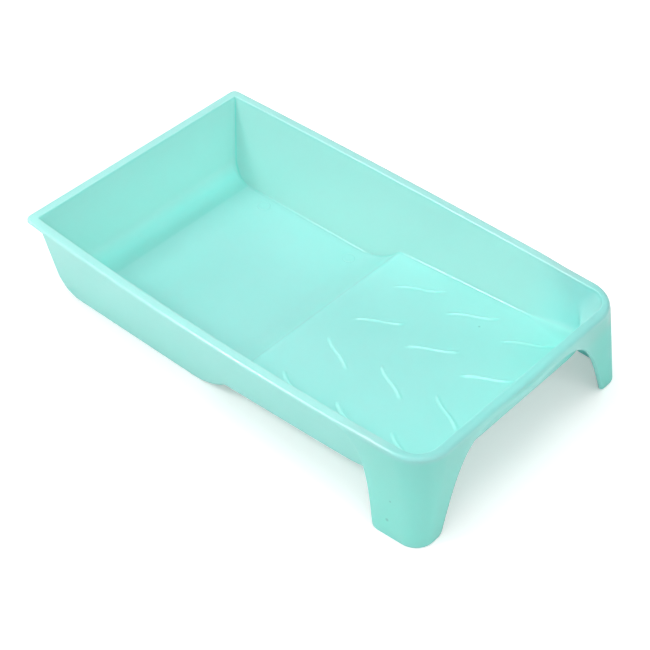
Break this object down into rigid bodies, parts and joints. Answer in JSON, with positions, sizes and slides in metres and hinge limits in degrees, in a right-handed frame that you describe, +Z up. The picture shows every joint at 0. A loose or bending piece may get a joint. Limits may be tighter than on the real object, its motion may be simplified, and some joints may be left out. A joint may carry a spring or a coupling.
{
  "type": "paint roller tray",
  "caption": "Moulded plastic paint roller tray with a deep well, a step up to a shallow ramp with S-shaped ribs, a flat rim with a turned-down lip, and two hollow legs.",
  "frame": {"origin": "on the rest plane, under the middle of the overall length and width", "axes": "+X runs from the deep end to the shallow end, +Y across the tray, +Z up"},
  "size_m": [0.325, 0.1972, 0.063],
  "materials": {
    "tray_plastic": "satin moulded polypropylene, mint green"
  },
  "bodies": {
    "root": {"tray_moulding": "tray_plastic"}
  },
  "joints": []
}
